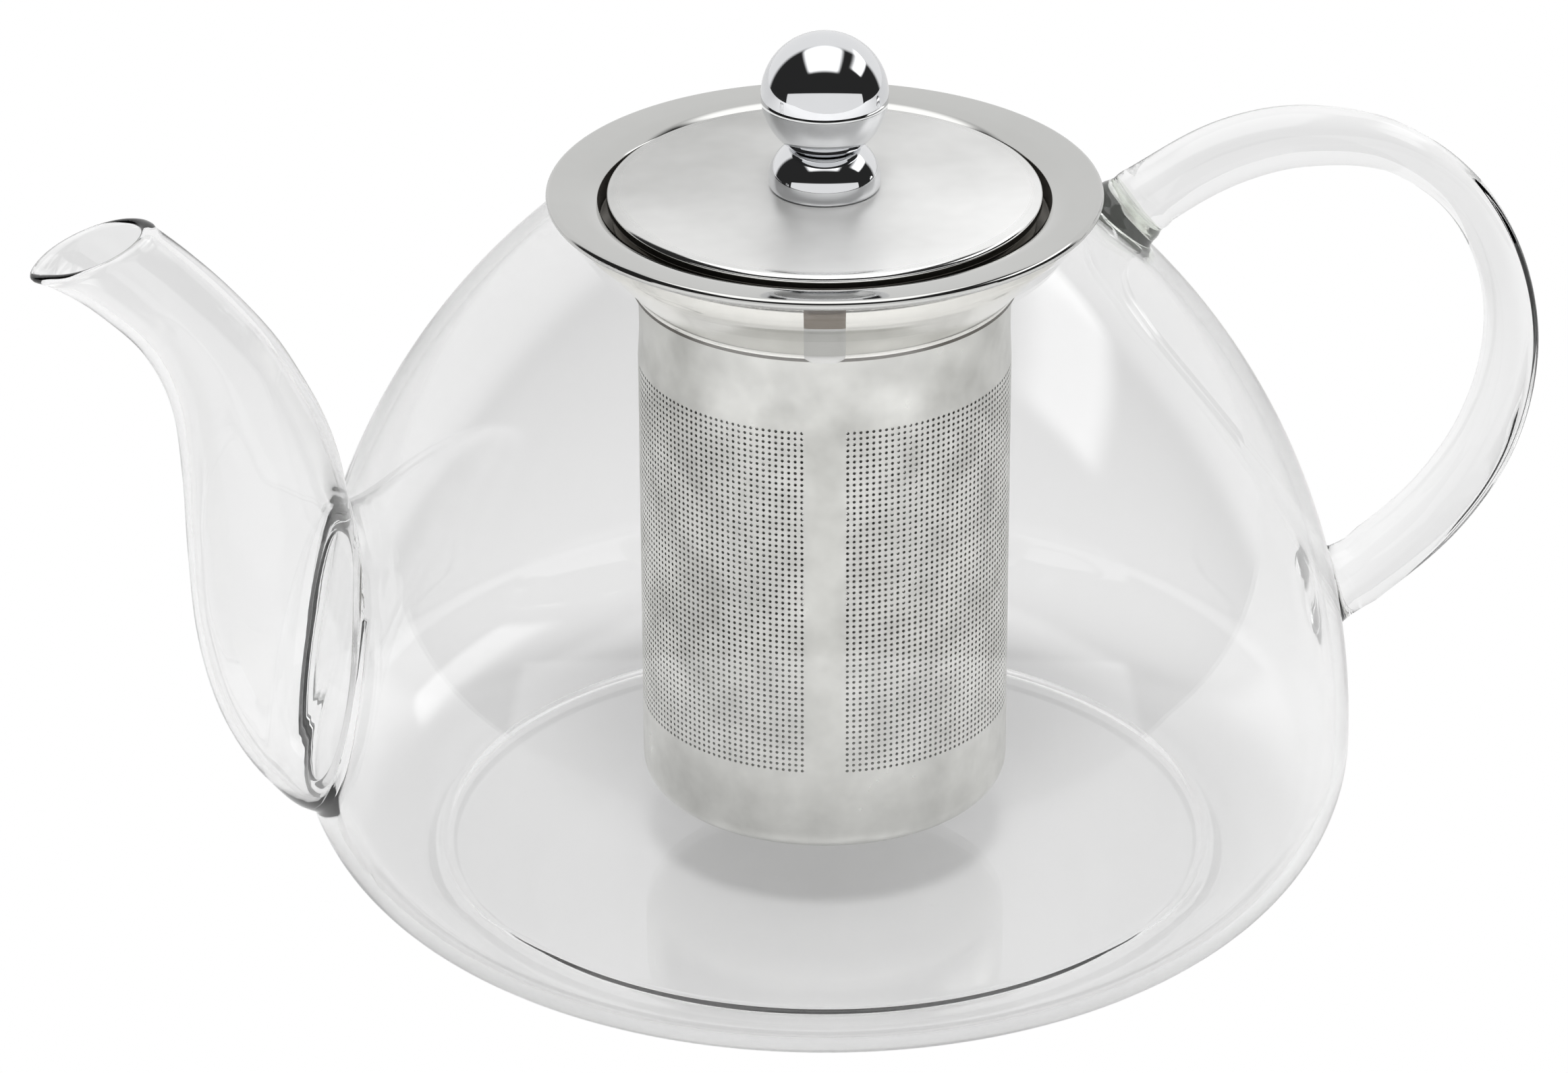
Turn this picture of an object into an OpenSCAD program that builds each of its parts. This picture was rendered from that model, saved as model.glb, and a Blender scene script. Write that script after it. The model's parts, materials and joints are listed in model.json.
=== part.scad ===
// Glass teapot with a lift-out steel tea strainer and a domed steel lid.
// Origin: centre of the flat base, on the pot's axis. +X points to the handle,
// -X to the spout, +Z up. Millimetres.

/* [Glass pot] */
// Widest radius of the body
body_r = 85; // [80:0.5:95]
// Height at which the body is widest
waist_z = 22; // [21:0.5:24]
// Radius of the flat base
foot_r = 63; // [60:0.5:66]
// Radius of the long shoulder curve
shoulder_r = 113.5; // [110:0.5:118]
// Thickness of the blown wall
wall = 2.2; // [1.6:0.1:2.6]
// Inner radius of the mouth
mouth_r = 37.5; // [37.3:0.1:38]
// Height of the middle of the rounded lip around the mouth
lip_z = 112.68; // [112:0.02:112.7]

/* [Spout and handle] */
// Thickness of the spout tube
spout_wall = 1.6; // [1.2:0.1:2]
// Radius of the port in the body behind the spout
port_r = 22.5; // [20:0.5:23]
// Height of the middle of the port
port_z = 42; // [40:0.5:44]
// Thickness of the fused ring between body and spout
spout_weld_t = 1.6; // [1:0.1:2.4]
// Thickness of the fused blob under the top end of the handle
top_weld_t = 3.5; // [2:0.1:4]
// Thickness of the fused joint at the bottom end of the handle
bottom_weld_t = 1.2; // [0.8:0.1:2]

/* [Tea strainer] */
// Outer radius of the rolled rim of the flange
flange_r = 43.7; // [42:0.1:46]
// Height of the top of the rolled rim
flange_top = 116.1; // [116.1:0.1:118]
// Thickness of the pressed flange and collar
sheet = 0.6; // [0.5:0.05:0.7]
// Inner radius of the recess that takes the lid
well_r = 35.5; // [35.2:0.1:35.7]
// Outer radius of the perforated basket
basket_r = 29.5; // [27:0.1:29.5]
// Height of the underside of the basket
basket_bottom_z = 13.2; // [10:0.2:16]
// Thickness of the basket sheet
basket_sheet = 0.4; // [0.3:0.05:0.6]
// Turn of the strainer in the mouth, which swings its seam
strainer_turn = -12; // [-30:1:30]

/* [Lid and knob] */
// Outer radius of the lid
lid_r = 34.15; // [33.8:0.05:34.6]
// Height of the middle of the lid
lid_top = 116.4; // [116:0.1:118]
// Radius of the ball
ball_r = 10; // [9:0.5:11]
// Height of the middle of the ball
ball_z = 131.85; // [131:0.05:133]
// Radius of the screw that holds the knob
screw_r = 2; // [1.5:0.25:2.5]

/* [Hidden] */

$fn = 96;
fine = 240;

glass = [0.90, 0.93, 0.92, 0.45];
weld_glass = [0.72, 0.78, 0.72, 0.8];
steel = [0.78, 0.78, 0.77];
satin = [0.66, 0.66, 0.65];
chrome = [0.86, 0.87, 0.88];

// Lip of the mouth
lip_r = 1.35;
lip_mid = mouth_r + lip_r;

// Flange: a dished ring with a rolled edge and a rounded drop into the well
roll_r = 0.8;
corner_r = 1.6;
dish = 18;
dish_normal = [-sin(dish), cos(dish)];
rim_mid = [flange_r - roll_r, flange_top - roll_r];
corner_x = well_r + corner_r;
corner_z = rim_mid[1] + (roll_r - corner_r + (corner_x - rim_mid[0]) * sin(dish)) / cos(dish);
ledge_z = corner_z - 1.75;
ledge_bore_r = well_r - 3.1;
ledge_drop = 1.4;

// Collar: a short cylinder round the well, then a cone down to the basket
collar_r = well_r + 2 * sheet;
collar_top = corner_z;
collar_break_z = 108.2;
collar_end_z = 100.6;
collar_lip = 1;
strap_w = 6.3;
strap_t = 0.35;

// Basket
cup_h = 14;
cup_corner = 4;
wall_top_z = collar_end_z + 0.2;
wall_bottom_z = basket_bottom_z + cup_h;

// Lid
lid_sheet = 0.7;
lid_rise = 0.4;
edge_w = 3;
edge_drop = 1.1;
rim_h = 0.5;
seat_gap = 0.05;
skirt_sheet = 0.6;
spigot_r = ledge_bore_r - 0.08;
spigot_end_z = 107;

// Knob
neck_z = 123.2;
neck_r = 5.7;
bell_r = 8.85;
bell_z = 118;
bell_mid = 2.5;
bell_foot_r = 8.4;
washer_r = 5;
washer_t = 0.8;
head_r = 3.6;
head_h = 2;
screw_depth = 10;

// The spout, as ovals across the tube: upper x and z, lower x and z, half width
spout_ovals = [
    [-66, 60, -70, 24, 20.5],
    [-75, 66.5, -84, 17.5, 24],
    [-76.6, 70, -92, 23, 20.5],
    [-77.2, 73.5, -98, 33.5, 17],
    [-78, 78, -101.3, 47, 14.2],
    [-79.6, 83.5, -102.3, 62, 12.4],
    [-82.4, 90, -102.6, 75.5, 11],
    [-87, 98.5, -103.8, 88, 9.6],
    [-93.5, 107, -107.8, 98, 8.6],
    [-100, 114, -115, 106, 8],
    [-105.6, 119.2, -124.2, 113.6, 7.9]
];

// The handle: x, z and radius along the middle of the glass rod
handle_line = [
    [44, 104, 5.3], [55, 111.5, 5.3], [66, 116.5, 5.3], [78, 118, 4.9],
    [92, 115, 4.1], [104, 106, 3.7], [111.3, 93, 3.9], [113.6, 78, 4.6],
    [110.4, 63, 5.3], [102.4, 50.6, 5.6], [91, 41, 5.7], [80, 35, 5.7]
];

// A smooth curve through a list of rows, after Catmull and Rom
function knot(p, i) = p[min(max(i, 0), len(p) - 1)];
function between(a, b, c, d, t) =
    0.5 * (2 * b + (c - a) * t + (2 * a - 5 * b + 4 * c - d) * t * t
        + (3 * b - a - 3 * c + d) * t * t * t);
function smooth(p, steps) = [
    for (i = [0 : len(p) - 2], k = [0 : steps - 1])
        between(knot(p, i - 1), p[i], p[i + 1], knot(p, i + 2), k / steps),
    p[len(p) - 1]
];

// A point on the rounded drop between the dished ring and the well
function corner(a, r) = [corner_x + r * cos(a), corner_z + r * sin(a)];

// Faces that join rings of n points, ring after ring
function skin_faces(rings, n, first, flip) = [
    for (i = [0 : rings - 2], k = [0 : n - 1])
        let (a = first + i * n + k, b = first + i * n + (k + 1) % n)
        each flip ? [[a, b, b + n], [a, b + n, a + n]]
            : [[b, a, b + n], [b + n, a, a + n]]
];

// Outline of the outside of the body, grown outwards by an amount
module body_outline(grow) {
    intersection() {
        translate([body_r - shoulder_r, waist_z])
            circle(shoulder_r + grow, $fn = fine);
        translate([0, waist_z])
            square([body_r + grow + 1, lip_z - waist_z]);
    }
    intersection() {
        translate([foot_r, waist_z]) circle(body_r - foot_r + grow, $fn = fine);
        translate([foot_r, waist_z - body_r + foot_r - grow])
            square([body_r - foot_r + grow, body_r - foot_r + grow]);
    }
    translate([0, waist_z - body_r + foot_r - grow])
        square([foot_r, body_r - foot_r + grow]);
}

// Solid body of the pot, grown outwards, between two heights
module body_solid(grow, low, high) {
    rotate_extrude($fn = fine) intersection() {
        body_outline(grow);
        translate([0, low]) square([2 * body_r, high - low]);
    }
}

// A cylinder that leaves the point [x, 0, z] at a slope above the X axis
module sloped_rod(x, z, slope, r, l) {
    translate([x, 0, z]) rotate([0, 90 - slope, 0])
        translate([0, 0, -l / 2]) cylinder(r = r, h = l);
}

module glass_body() {
    color(glass) difference() {
        rotate_extrude($fn = fine) {
            difference() {
                body_outline(0);
                body_outline(-wall);
                translate([0, waist_z]) square([lip_mid, lip_z]);
            }
            translate([lip_mid, lip_z]) circle(lip_r);
        }
        translate([-body_r, 0, port_z]) rotate([0, 90, 0])
            cylinder(r = port_r, h = body_r / 2, center = true);
    }
}

// Points of one oval across the spout, drawn in from its outside by an amount
function oval(s, inset, n) =
    let (top = [s[0], 0, s[1]], low = [s[2], 0, s[3]],
        half = (top - low) / 2, mid = (top + low) / 2,
        long = 1 - inset / norm(half), wide = s[4] - inset)
    [for (k = [0 : n - 1]) mid + half * long * cos(360 * k / n)
        + [0, wide * sin(360 * k / n), 0]];

module spout_tube() {
    n = 24;
    rows = smooth(spout_ovals, 3);
    count = len(rows);
    outside = [for (s = rows) each oval(s, 0, n)];
    inside = [for (s = rows) each oval(s, spout_wall, n)];
    start = count * n;
    ends = [for (k = [0 : n - 1]) let (m = (k + 1) % n, e = start - n)
        each [[k, m, start + m], [k, start + m, start + k],
            [e + m, e + k, start + e + k], [e + m, start + e + k, start + e + m]]];
    color(glass) difference() {
        polyhedron(concat(outside, inside),
            concat(skin_faces(count, n, 0, false),
                skin_faces(count, n, start, true), ends), convexity = 6);
        body_solid(spout_weld_t, -5, lip_z);
    }
}

module spout_weld() {
    color(weld_glass) difference() {
        intersection() {
            body_solid(spout_weld_t, 2, 2 * port_z);
            translate([-body_r, 0, port_z]) rotate([0, 90, 0])
                cylinder(r = port_r + 3, h = body_r / 2, center = true);
        }
        body_solid(0, 0, lip_z);
        translate([-body_r, 0, port_z]) rotate([0, 90, 0])
            cylinder(r = port_r, h = body_r, center = true);
    }
}

module handle_loop() {
    n = 16;
    line = smooth(handle_line, 4);
    count = len(line);
    // Direction of the rod at a point, in the XZ plane
    function way(i) = let (a = line[max(i - 1, 0)], b = line[min(i + 1, count - 1)],
        d = [b[0] - a[0], b[1] - a[1]]) d / norm(d);
    points = [for (i = [0 : count - 1], k = [0 : n - 1])
        let (p = line[i], d = way(i), r = p[2], c = cos(360 * k / n))
        [p[0] - d[1] * r * c, r * sin(360 * k / n), p[1] + d[0] * r * c]];
    caps = [[for (k = [n - 1 : -1 : 0]) k], [for (k = [0 : n - 1]) (count - 1) * n + k]];
    color(glass) difference() {
        polyhedron(points, concat(skin_faces(count, n, 0, true), caps), convexity = 6);
        body_solid(top_weld_t, 2 * port_z, lip_z + top_weld_t);
        body_solid(bottom_weld_t, 0, 2 * port_z);
    }
}

module handle_weld_top() {
    color(weld_glass) difference() {
        intersection() {
            body_solid(top_weld_t, 2 * port_z, lip_z + top_weld_t);
            sloped_rod(50, 107.6, 38, 6.4, 40);
        }
        body_solid(0, 0, lip_z);
    }
}

module handle_weld_bottom() {
    color(weld_glass) difference() {
        intersection() {
            body_solid(bottom_weld_t, 0, 2 * port_z);
            sloped_rod(84, 37.2, 29, 6.2, 40);
        }
        body_solid(0, 0, lip_z);
    }
}

module strainer_flange() {
    // One sheet: rolled rim, dished ring, rounded drop, well, ledge and bore edge
    upper = concat([for (a = [90 + dish : 12 : 180]) corner(a, corner_r)],
        [[well_r, ledge_z], [ledge_bore_r, ledge_z], [ledge_bore_r, ledge_z - ledge_drop]]);
    lower = concat([[ledge_bore_r + sheet, ledge_z - ledge_drop],
            [ledge_bore_r + sheet, ledge_z - sheet], [well_r + sheet, ledge_z - sheet]],
        [for (a = [180 : -12 : 90 + dish]) corner(a, corner_r - sheet)],
        [rim_mid + (roll_r - sheet) * dish_normal]);
    color(steel) rotate_extrude($fn = fine) {
        polygon(concat([rim_mid + roll_r * dish_normal], upper, lower));
        translate(rim_mid) circle(roll_r);
    }
}

module strainer_collar() {
    color(steel) rotate_extrude($fn = fine) polygon([
        [collar_r, collar_top], [collar_r, collar_break_z],
        [basket_r + sheet, collar_end_z], [basket_r + sheet, collar_end_z - collar_lip],
        [basket_r, collar_end_z - collar_lip], [basket_r, collar_end_z + 0.2],
        [collar_r - sheet, collar_break_z + 0.2], [collar_r - sheet, collar_top]]);
}

// The strap covers the joint of the collar and hooks over its lower edge
module collar_strap() {
    color(satin) rotate([0, 0, strainer_turn]) intersection() {
        rotate_extrude($fn = fine) polygon([
            [collar_r, collar_top], [collar_r + strap_t, collar_top],
            [collar_r + strap_t, collar_break_z],
            [basket_r + sheet + strap_t, collar_end_z],
            [basket_r + sheet + strap_t, collar_end_z - collar_lip],
            [basket_r + sheet, collar_end_z - collar_lip],
            [basket_r + sheet, collar_end_z], [collar_r, collar_break_z]]);
        translate([-strap_w / 2, -collar_r - 5, 0])
            cube([strap_w, collar_r + 5, lip_z + 5]);
    }
}

module basket_wall() {
    color(satin) translate([0, 0, wall_bottom_z]) difference() {
        cylinder(r = basket_r, h = wall_top_z - wall_bottom_z, $fn = fine);
        translate([0, 0, -1])
            cylinder(r = basket_r - basket_sheet, h = wall_top_z, $fn = fine);
    }
}

// Outline of the pressed cup, drawn in by an amount
module cup_outline(inset) {
    r = basket_r - inset;
    k = cup_corner - inset;
    translate([0, basket_bottom_z + inset]) {
        square([r - k, cup_h]);
        translate([0, k]) square([r, cup_h - k]);
        translate([r - k, k]) circle(k);
    }
}

module basket_bottom() {
    color(satin) rotate_extrude($fn = fine) intersection() {
        difference() {
            cup_outline(0);
            cup_outline(basket_sheet);
        }
        square([2 * basket_r, wall_bottom_z]);
    }
}

// Height of the lid's upper face at a radius: a low dome, then a rounded edge
function dome(r) = lid_top - lid_rise * pow(r / lid_r, 2);
function edge(a) = [lid_r - edge_w + edge_w * sin(a),
    dome(lid_r - edge_w) - edge_drop * (1 - cos(a))];
// A point under the rounded edge, where the ring below is spot welded
function under(a) = edge(a) - [0, lid_sheet];

module lid_dome() {
    steps = 8;
    upper = concat(
        [for (i = [0 : steps]) let (r = (lid_r - edge_w) * i / steps) [r, dome(r)]],
        [for (a = [15 : 15 : 90]) edge(a)]);
    rim = upper[len(upper) - 1];
    lower = concat([rim - [0, rim_h], rim - [lid_sheet, rim_h]],
        [for (i = [len(upper) - 4 : -1 : 0]) upper[i] - [0, lid_sheet]]);
    color(steel) difference() {
        rotate_extrude($fn = fine) polygon(concat(upper, lower));
        cylinder(r = screw_r + 0.1, h = 2 * lid_top);
    }
}

// Stepped ring under the lid: it rests on the ledge and drops into its bore
module lid_skirt() {
    skirt_r = under(45)[0];
    seat = ledge_z + seat_gap;
    step = spigot_r - skirt_sheet;
    color(satin) rotate_extrude($fn = fine) polygon(concat(
        [for (a = [0 : 15 : 45]) under(a)],
        [[skirt_r, seat], [spigot_r, seat], [spigot_r, spigot_end_z],
            [step, spigot_end_z], [step, seat + skirt_sheet],
            [skirt_r - skirt_sheet, seat + skirt_sheet]],
        [for (a = [30 : -15 : 0]) under(a) - [0, skirt_sheet]]));
}

module knob_base() {
    foot = dome(bell_foot_r);
    // The side is part of an ellipse that is upright where the bell is widest
    wide = bell_r - bell_mid;
    high = (neck_z - bell_z) / sqrt(1 - pow((neck_r - bell_mid) / wide, 2));
    first = asin((neck_z - bell_z) / high);
    flare = [for (i = [0 : 9]) let (a = first * (1 - i / 9))
        [bell_mid + wide * cos(a), bell_z + high * sin(a)]];
    color(chrome) difference() {
        rotate_extrude($fn = fine) polygon(concat(
            [[0, neck_z]], flare,
            [[bell_r - 0.1, bell_z - 0.8], [bell_foot_r, foot]],
            [for (i = [7 : -1 : 0]) let (r = bell_foot_r * i / 8) [r, dome(r)]]));
        cylinder(r = screw_r, h = lid_top + screw_depth);
    }
}

module knob_ball() {
    color(chrome) difference() {
        intersection() {
            translate([0, 0, ball_z]) sphere(ball_r, $fn = fine);
            translate([0, 0, neck_z]) cylinder(r = 2 * ball_r, h = 3 * ball_r);
        }
        cylinder(r = screw_r, h = lid_top + screw_depth);
    }
}

module knob_washer() {
    color(steel) translate([0, 0, lid_top - lid_sheet - lid_rise / 8 - washer_t])
        difference() {
            cylinder(r = washer_r, h = washer_t);
            translate([0, 0, -1]) cylinder(r = screw_r + 0.1, h = 3);
        }
}

module knob_screw() {
    head_top = lid_top - lid_sheet - lid_rise / 8 - washer_t;
    color(satin) {
        difference() {
            translate([0, 0, head_top - head_h]) cylinder(r = head_r, h = head_h);
            translate([-0.5, -head_r, head_top - head_h - 1]) cube([1, 2 * head_r, 2]);
        }
        translate([0, 0, head_top]) cylinder(r = screw_r, h = lid_top + screw_depth - head_top);
    }
}

glass_body();
spout_tube();
spout_weld();
handle_loop();
handle_weld_top();
handle_weld_bottom();
strainer_flange();
strainer_collar();
collar_strap();
basket_wall();
basket_bottom();
lid_dome();
lid_skirt();
knob_base();
knob_ball();
knob_washer();
knob_screw();
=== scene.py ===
# %% [markdown]
# # A blown glass teapot with a steel tea strainer
# The pot is clear blown glass with a spout and a rod handle fused on. A steel
# strainer hangs in its mouth, and a domed lid with a ball knob sits in the
# strainer. The CAD frame gives every size. This script gives the pieces their
# fine shapes and their finishes, and then lights them.

# %% Load the frame
import json
import math

import bmesh
import bpy
import numpy as np
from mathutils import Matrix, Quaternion, Vector

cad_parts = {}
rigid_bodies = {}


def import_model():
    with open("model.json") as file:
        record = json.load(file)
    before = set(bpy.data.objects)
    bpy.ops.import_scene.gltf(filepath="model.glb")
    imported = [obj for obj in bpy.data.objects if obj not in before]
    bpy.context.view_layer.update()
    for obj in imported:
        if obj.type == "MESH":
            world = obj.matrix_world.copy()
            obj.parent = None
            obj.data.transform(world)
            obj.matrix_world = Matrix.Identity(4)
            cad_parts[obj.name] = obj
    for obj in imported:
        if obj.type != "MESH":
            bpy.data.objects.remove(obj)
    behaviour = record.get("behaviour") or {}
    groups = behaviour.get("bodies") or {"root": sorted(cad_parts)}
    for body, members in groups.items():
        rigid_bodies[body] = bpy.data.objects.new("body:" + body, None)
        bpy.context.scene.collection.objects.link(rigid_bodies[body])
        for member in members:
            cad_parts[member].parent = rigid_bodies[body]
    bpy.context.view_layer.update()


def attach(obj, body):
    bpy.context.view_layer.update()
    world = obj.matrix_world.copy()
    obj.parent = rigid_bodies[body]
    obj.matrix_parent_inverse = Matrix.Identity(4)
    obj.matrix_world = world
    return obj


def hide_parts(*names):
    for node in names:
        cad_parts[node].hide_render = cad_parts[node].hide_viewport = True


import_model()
MM = 0.001

# %% [markdown]
# ## The sizes
# All the sizes below are in millimetres and repeat the driving dimensions of
# the CAD part.

# %% Driving sizes
# Glass body
BODY_R, WAIST_Z, FOOT_R, SHOULDER_R, WALL = 85, 22, 63, 113.5, 2.2
LIP_MID, LIP_Z, LIP_R = 38.85, 112.68, 1.35
# Strainer
FLANGE_R, FLANGE_TOP, SHEET, WELL_R = 43.7, 116.1, 0.6, 35.5
BASKET_R, BASKET_SHEET, BASKET_Z = 29.5, 0.4, 13.2
WALL_TOP_Z = 100.8
SEAM_ANGLE = -102  # where the strap and the plain strip of the basket face
# Lid and knob
LID_R, LID_TOP, LID_RISE, LID_SHEET = 34.15, 116.4, 0.4, 0.7
BALL_R, BALL_Z, NECK_Z, NECK_R = 10, 131.85, 123.2, 5.7
BELL_R, BELL_Z, BELL_MID, BELL_FOOT_R = 8.85, 118, 2.5, 8.4

# %% [markdown]
# ## Helpers for meshes
# Most of this pot is turned, pressed or blown, so most of it is a line spun
# about the pot's axis. The line is drawn with straight points and true arcs,
# because a few exact arcs give smoother highlights than many loose points.

# %% Arcs and finished pieces
def arc(middle, radius, start, end, steps):
    """Points on an arc in the plane of radius and height. Angles in degrees."""
    angles = np.radians(np.linspace(start, end, steps + 1))
    return [(middle[0] + radius * math.cos(a), middle[1] + radius * math.sin(a))
            for a in angles]


def circle(radius, height, count):
    """Evenly spaced points round the pot's axis."""
    return [(radius * math.cos(2 * math.pi * k / count),
             radius * math.sin(2 * math.pi * k / count), height) for k in range(count)]


def link_new(name, data):
    """A new object in the scene that shows some data."""
    item = bpy.data.objects.new(name, data)
    bpy.context.collection.objects.link(item)
    return item


def smooth_piece(name, mesh, sharp_angle):
    """An object that shows a mesh shaded smooth, apart from its sharp edges."""
    mesh.shade_smooth()
    mesh.set_sharp_from_angle(angle=math.radians(sharp_angle))
    return link_new(name, mesh)


def make_piece(name, points, faces, sharp_angle, marks=None):
    """A smooth shaded mesh object from points in mm, its normals outwards."""
    mesh = bpy.data.meshes.new(name)
    mesh.from_pydata([Vector(p) * MM for p in points], [], faces)
    if marks:
        mesh.polygons.foreach_set("material_index", [int(m) for m in marks])
    work = bmesh.new()
    work.from_mesh(mesh)
    bmesh.ops.remove_doubles(work, verts=work.verts, dist=1e-6)
    bmesh.ops.recalc_face_normals(work, faces=work.faces)
    work.to_mesh(mesh)
    work.free()
    return smooth_piece(name, mesh, sharp_angle)


def spin(name, outline, steps, sharp_angle, closed):
    """Spins an outline of (radius, height) points about the pot's axis."""
    points, rings, faces = [], [], []
    for radius, height in outline:
        if radius < 1e-6:
            rings.append([len(points)] * steps)
            points.append((0, 0, height))
        else:
            rings.append(range(len(points), len(points) + steps))
            points += circle(radius, height, steps)
    pairs = list(zip(rings, rings[1:])) + ([(rings[-1], rings[0])] if closed else [])
    for low, high in pairs:
        for k in range(steps):
            m = (k + 1) % steps
            corners = [low[k], low[m], high[m], high[k]]
            corners = [c for i, c in enumerate(corners) if c != corners[i - 1]]
            if len(corners) > 2:
                faces.append(corners)
    return make_piece(name, points, faces, sharp_angle)

# %% [markdown]
# ## Helpers for materials
# A material is a small graph. One function adds any node: it sets the node's
# attributes and gives each input a value or a link. Another turns a colour
# from its sRGB hex code to the linear values that a shader takes.

# %% Nodes and colours
def paint(code):
    """Linear RGBA from an sRGB hex code such as '#C8C8C6'."""
    parts = [int(code[i:i + 2], 16) / 255 for i in (1, 3, 5)]
    return [p / 12.92 if p <= 0.04045 else ((p + 0.055) / 1.055) ** 2.4
            for p in parts] + [1]


def add_node(tree, kind, settings=None, inputs=None):
    """Adds one node, with its attributes and with its inputs set or linked.

    A node that is given as an input stands for its first output."""
    node = tree.nodes.new(kind)
    for name, value in (settings or {}).items():
        setattr(node, name, value)
    for name, value in (inputs or {}).items():
        if isinstance(value, bpy.types.Node):
            value = value.outputs[0]
        if isinstance(value, bpy.types.NodeSocket):
            tree.links.new(value, node.inputs[name])
        else:
            node.inputs[name].default_value = value
    return node


def maths(tree, operation, a, b=0.0):
    """A sum, a product and so on of two values or outputs."""
    return add_node(tree, "ShaderNodeMath", {"operation": operation}, {0: a, 1: b})


def step_up(tree, value, low, high):
    """0 below low, 1 above high, and smooth between them."""
    return add_node(tree, "ShaderNodeMapRange", {"interpolation_type": "SMOOTHSTEP"},
                    {"Value": value, "From Min": low, "From Max": high})


def new_material(name, viewport_code):
    """An empty material and its node tree."""
    material = bpy.data.materials.new(name)
    material.use_nodes = True
    material.diffuse_color = paint(viewport_code)
    material.node_tree.nodes.clear()
    return material, material.node_tree

# %% [markdown]
# ## Blown borosilicate glass
# Borosilicate is almost without colour. It shows by what it bends: dark lines
# where the wall turns edge-on, and soft windows of light on its curves. Hand
# blowing leaves long shallow waves, so a slow noise bends the normal a little.
# The shadow of real clear glass is nearly nothing, which a path tracer draws
# with too much noise, so shadow rays pass straight through.

# %% Glass materials
GLASS_IOR = 1.474  # borosilicate, a little lower than window glass


def glass_material(name, tint, wave_mm, wave_height, roughness, clearness=1.0):
    """Glass with waves of a length and height in mm. Clearness is its share of glass."""
    material, tree = new_material(name, tint)
    place = add_node(tree, "ShaderNodeTexCoord")
    wave = add_node(tree, "ShaderNodeTexNoise",
                    inputs={"Vector": place.outputs["Object"], "Scale": 1 / (wave_mm * MM),
                            "Detail": 1.0, "Roughness": 0.4})
    bump = add_node(tree, "ShaderNodeBump", inputs={
        "Height": wave, "Strength": 1.0, "Distance": wave_height * MM})
    glass = add_node(tree, "ShaderNodeBsdfPrincipled", inputs={
        "Base Color": paint(tint), "Roughness": roughness, "IOR": GLASS_IOR,
        "Transmission Weight": clearness, "Normal": bump})
    clear = add_node(tree, "ShaderNodeBsdfTransparent", inputs={"Color": paint("#FDFDFD")})
    path = add_node(tree, "ShaderNodeLightPath")
    blend = add_node(tree, "ShaderNodeMixShader",
                     inputs={0: path.outputs["Is Shadow Ray"], 1: glass, 2: clear})
    add_node(tree, "ShaderNodeOutputMaterial", inputs={"Surface": blend})
    return material


# The body, spout and handle: colourless, with waves about 45 mm long
blown_glass = glass_material("blown_borosilicate_glass", "#FDFDFD", 45, 0.10, 0.0)
# Where glass was melted together it is thicker, greener and more rippled
fused_glass = glass_material("fused_borosilicate_glass", "#EDF1EA", 7, 0.10, 0.05, 0.88)
print("glass:", blown_glass.name, fused_glass.name)

# %% [markdown]
# ## The glass pot as one fused skin
# The spout and the handle are melted into the body, so no surface of glass
# stays between them. Separate closed meshes would show false mirrors inside
# the joints. Here the body is a grid spun from its profile, with a patch left
# out for each joint. Rings of points then lead from the square edge of a patch
# to the round root of the spout or the rod, so the glass is one closed skin.

# %% Profile of the blown body
RING_R, RING_H, RING_W = 62.4, 0.8, 1.1  # a ring of thicker glass inside the foot
BASE_EXTRA, FADE = 0.5, 8  # the base is this much thicker, and fades out past the foot


def body_radius(height, inset=0):
    """Radius of the body's outside at a height, drawn in by an inset."""
    if height < WAIST_Z:
        reach = BODY_R - FOOT_R - inset
        return FOOT_R + math.sqrt(max(reach ** 2 - (WAIST_Z - height) ** 2, 0))
    return math.sqrt((SHOULDER_R - inset) ** 2 - (height - WAIST_Z) ** 2) + BODY_R - SHOULDER_R


def gathered(r):
    """How much thicker the glass is where the foot was pressed flat."""
    return (BASE_EXTRA * min(1, max(0, (FOOT_R + FADE - r) / FADE)) ** 2
            + RING_H * math.exp(-((r - RING_R) / RING_W) ** 2))


def body_rows(inset, top_angle):
    """Points up one side of the wall, from beside the axis to the mouth."""
    corner = BODY_R - FOOT_R - inset
    base = [(r, inset) for r in (8, 20, 32, 42, 49, 54, 57, 59, 60.2, 61, 61.5, 61.9,
                                 62.3, 62.7)]
    foot = base + arc((FOOT_R, WAIST_Z), corner, -90, 0, 20)
    if inset:
        foot = [(r, z + gathered(r)) for r, z in foot]
    side = arc((BODY_R - SHOULDER_R, WAIST_Z), SHOULDER_R - inset, 0, top_angle, 48)
    return foot + side[1:]


outer_rows = body_rows(0, 52.2)
inner_rows = body_rows(WALL, 53.4)
lip_rows = arc((LIP_MID, LIP_Z), LIP_R, -12, 205, 9)
print("rows up the outside:", len(outer_rows), "inside:", len(inner_rows))

# %% [markdown]
# The spout is given by ovals across it, from its root to its mouth, and the
# handle by points along the middle of the rod. A Catmull-Rom curve goes
# through all of them, as in the CAD part, so the two models agree.

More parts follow.
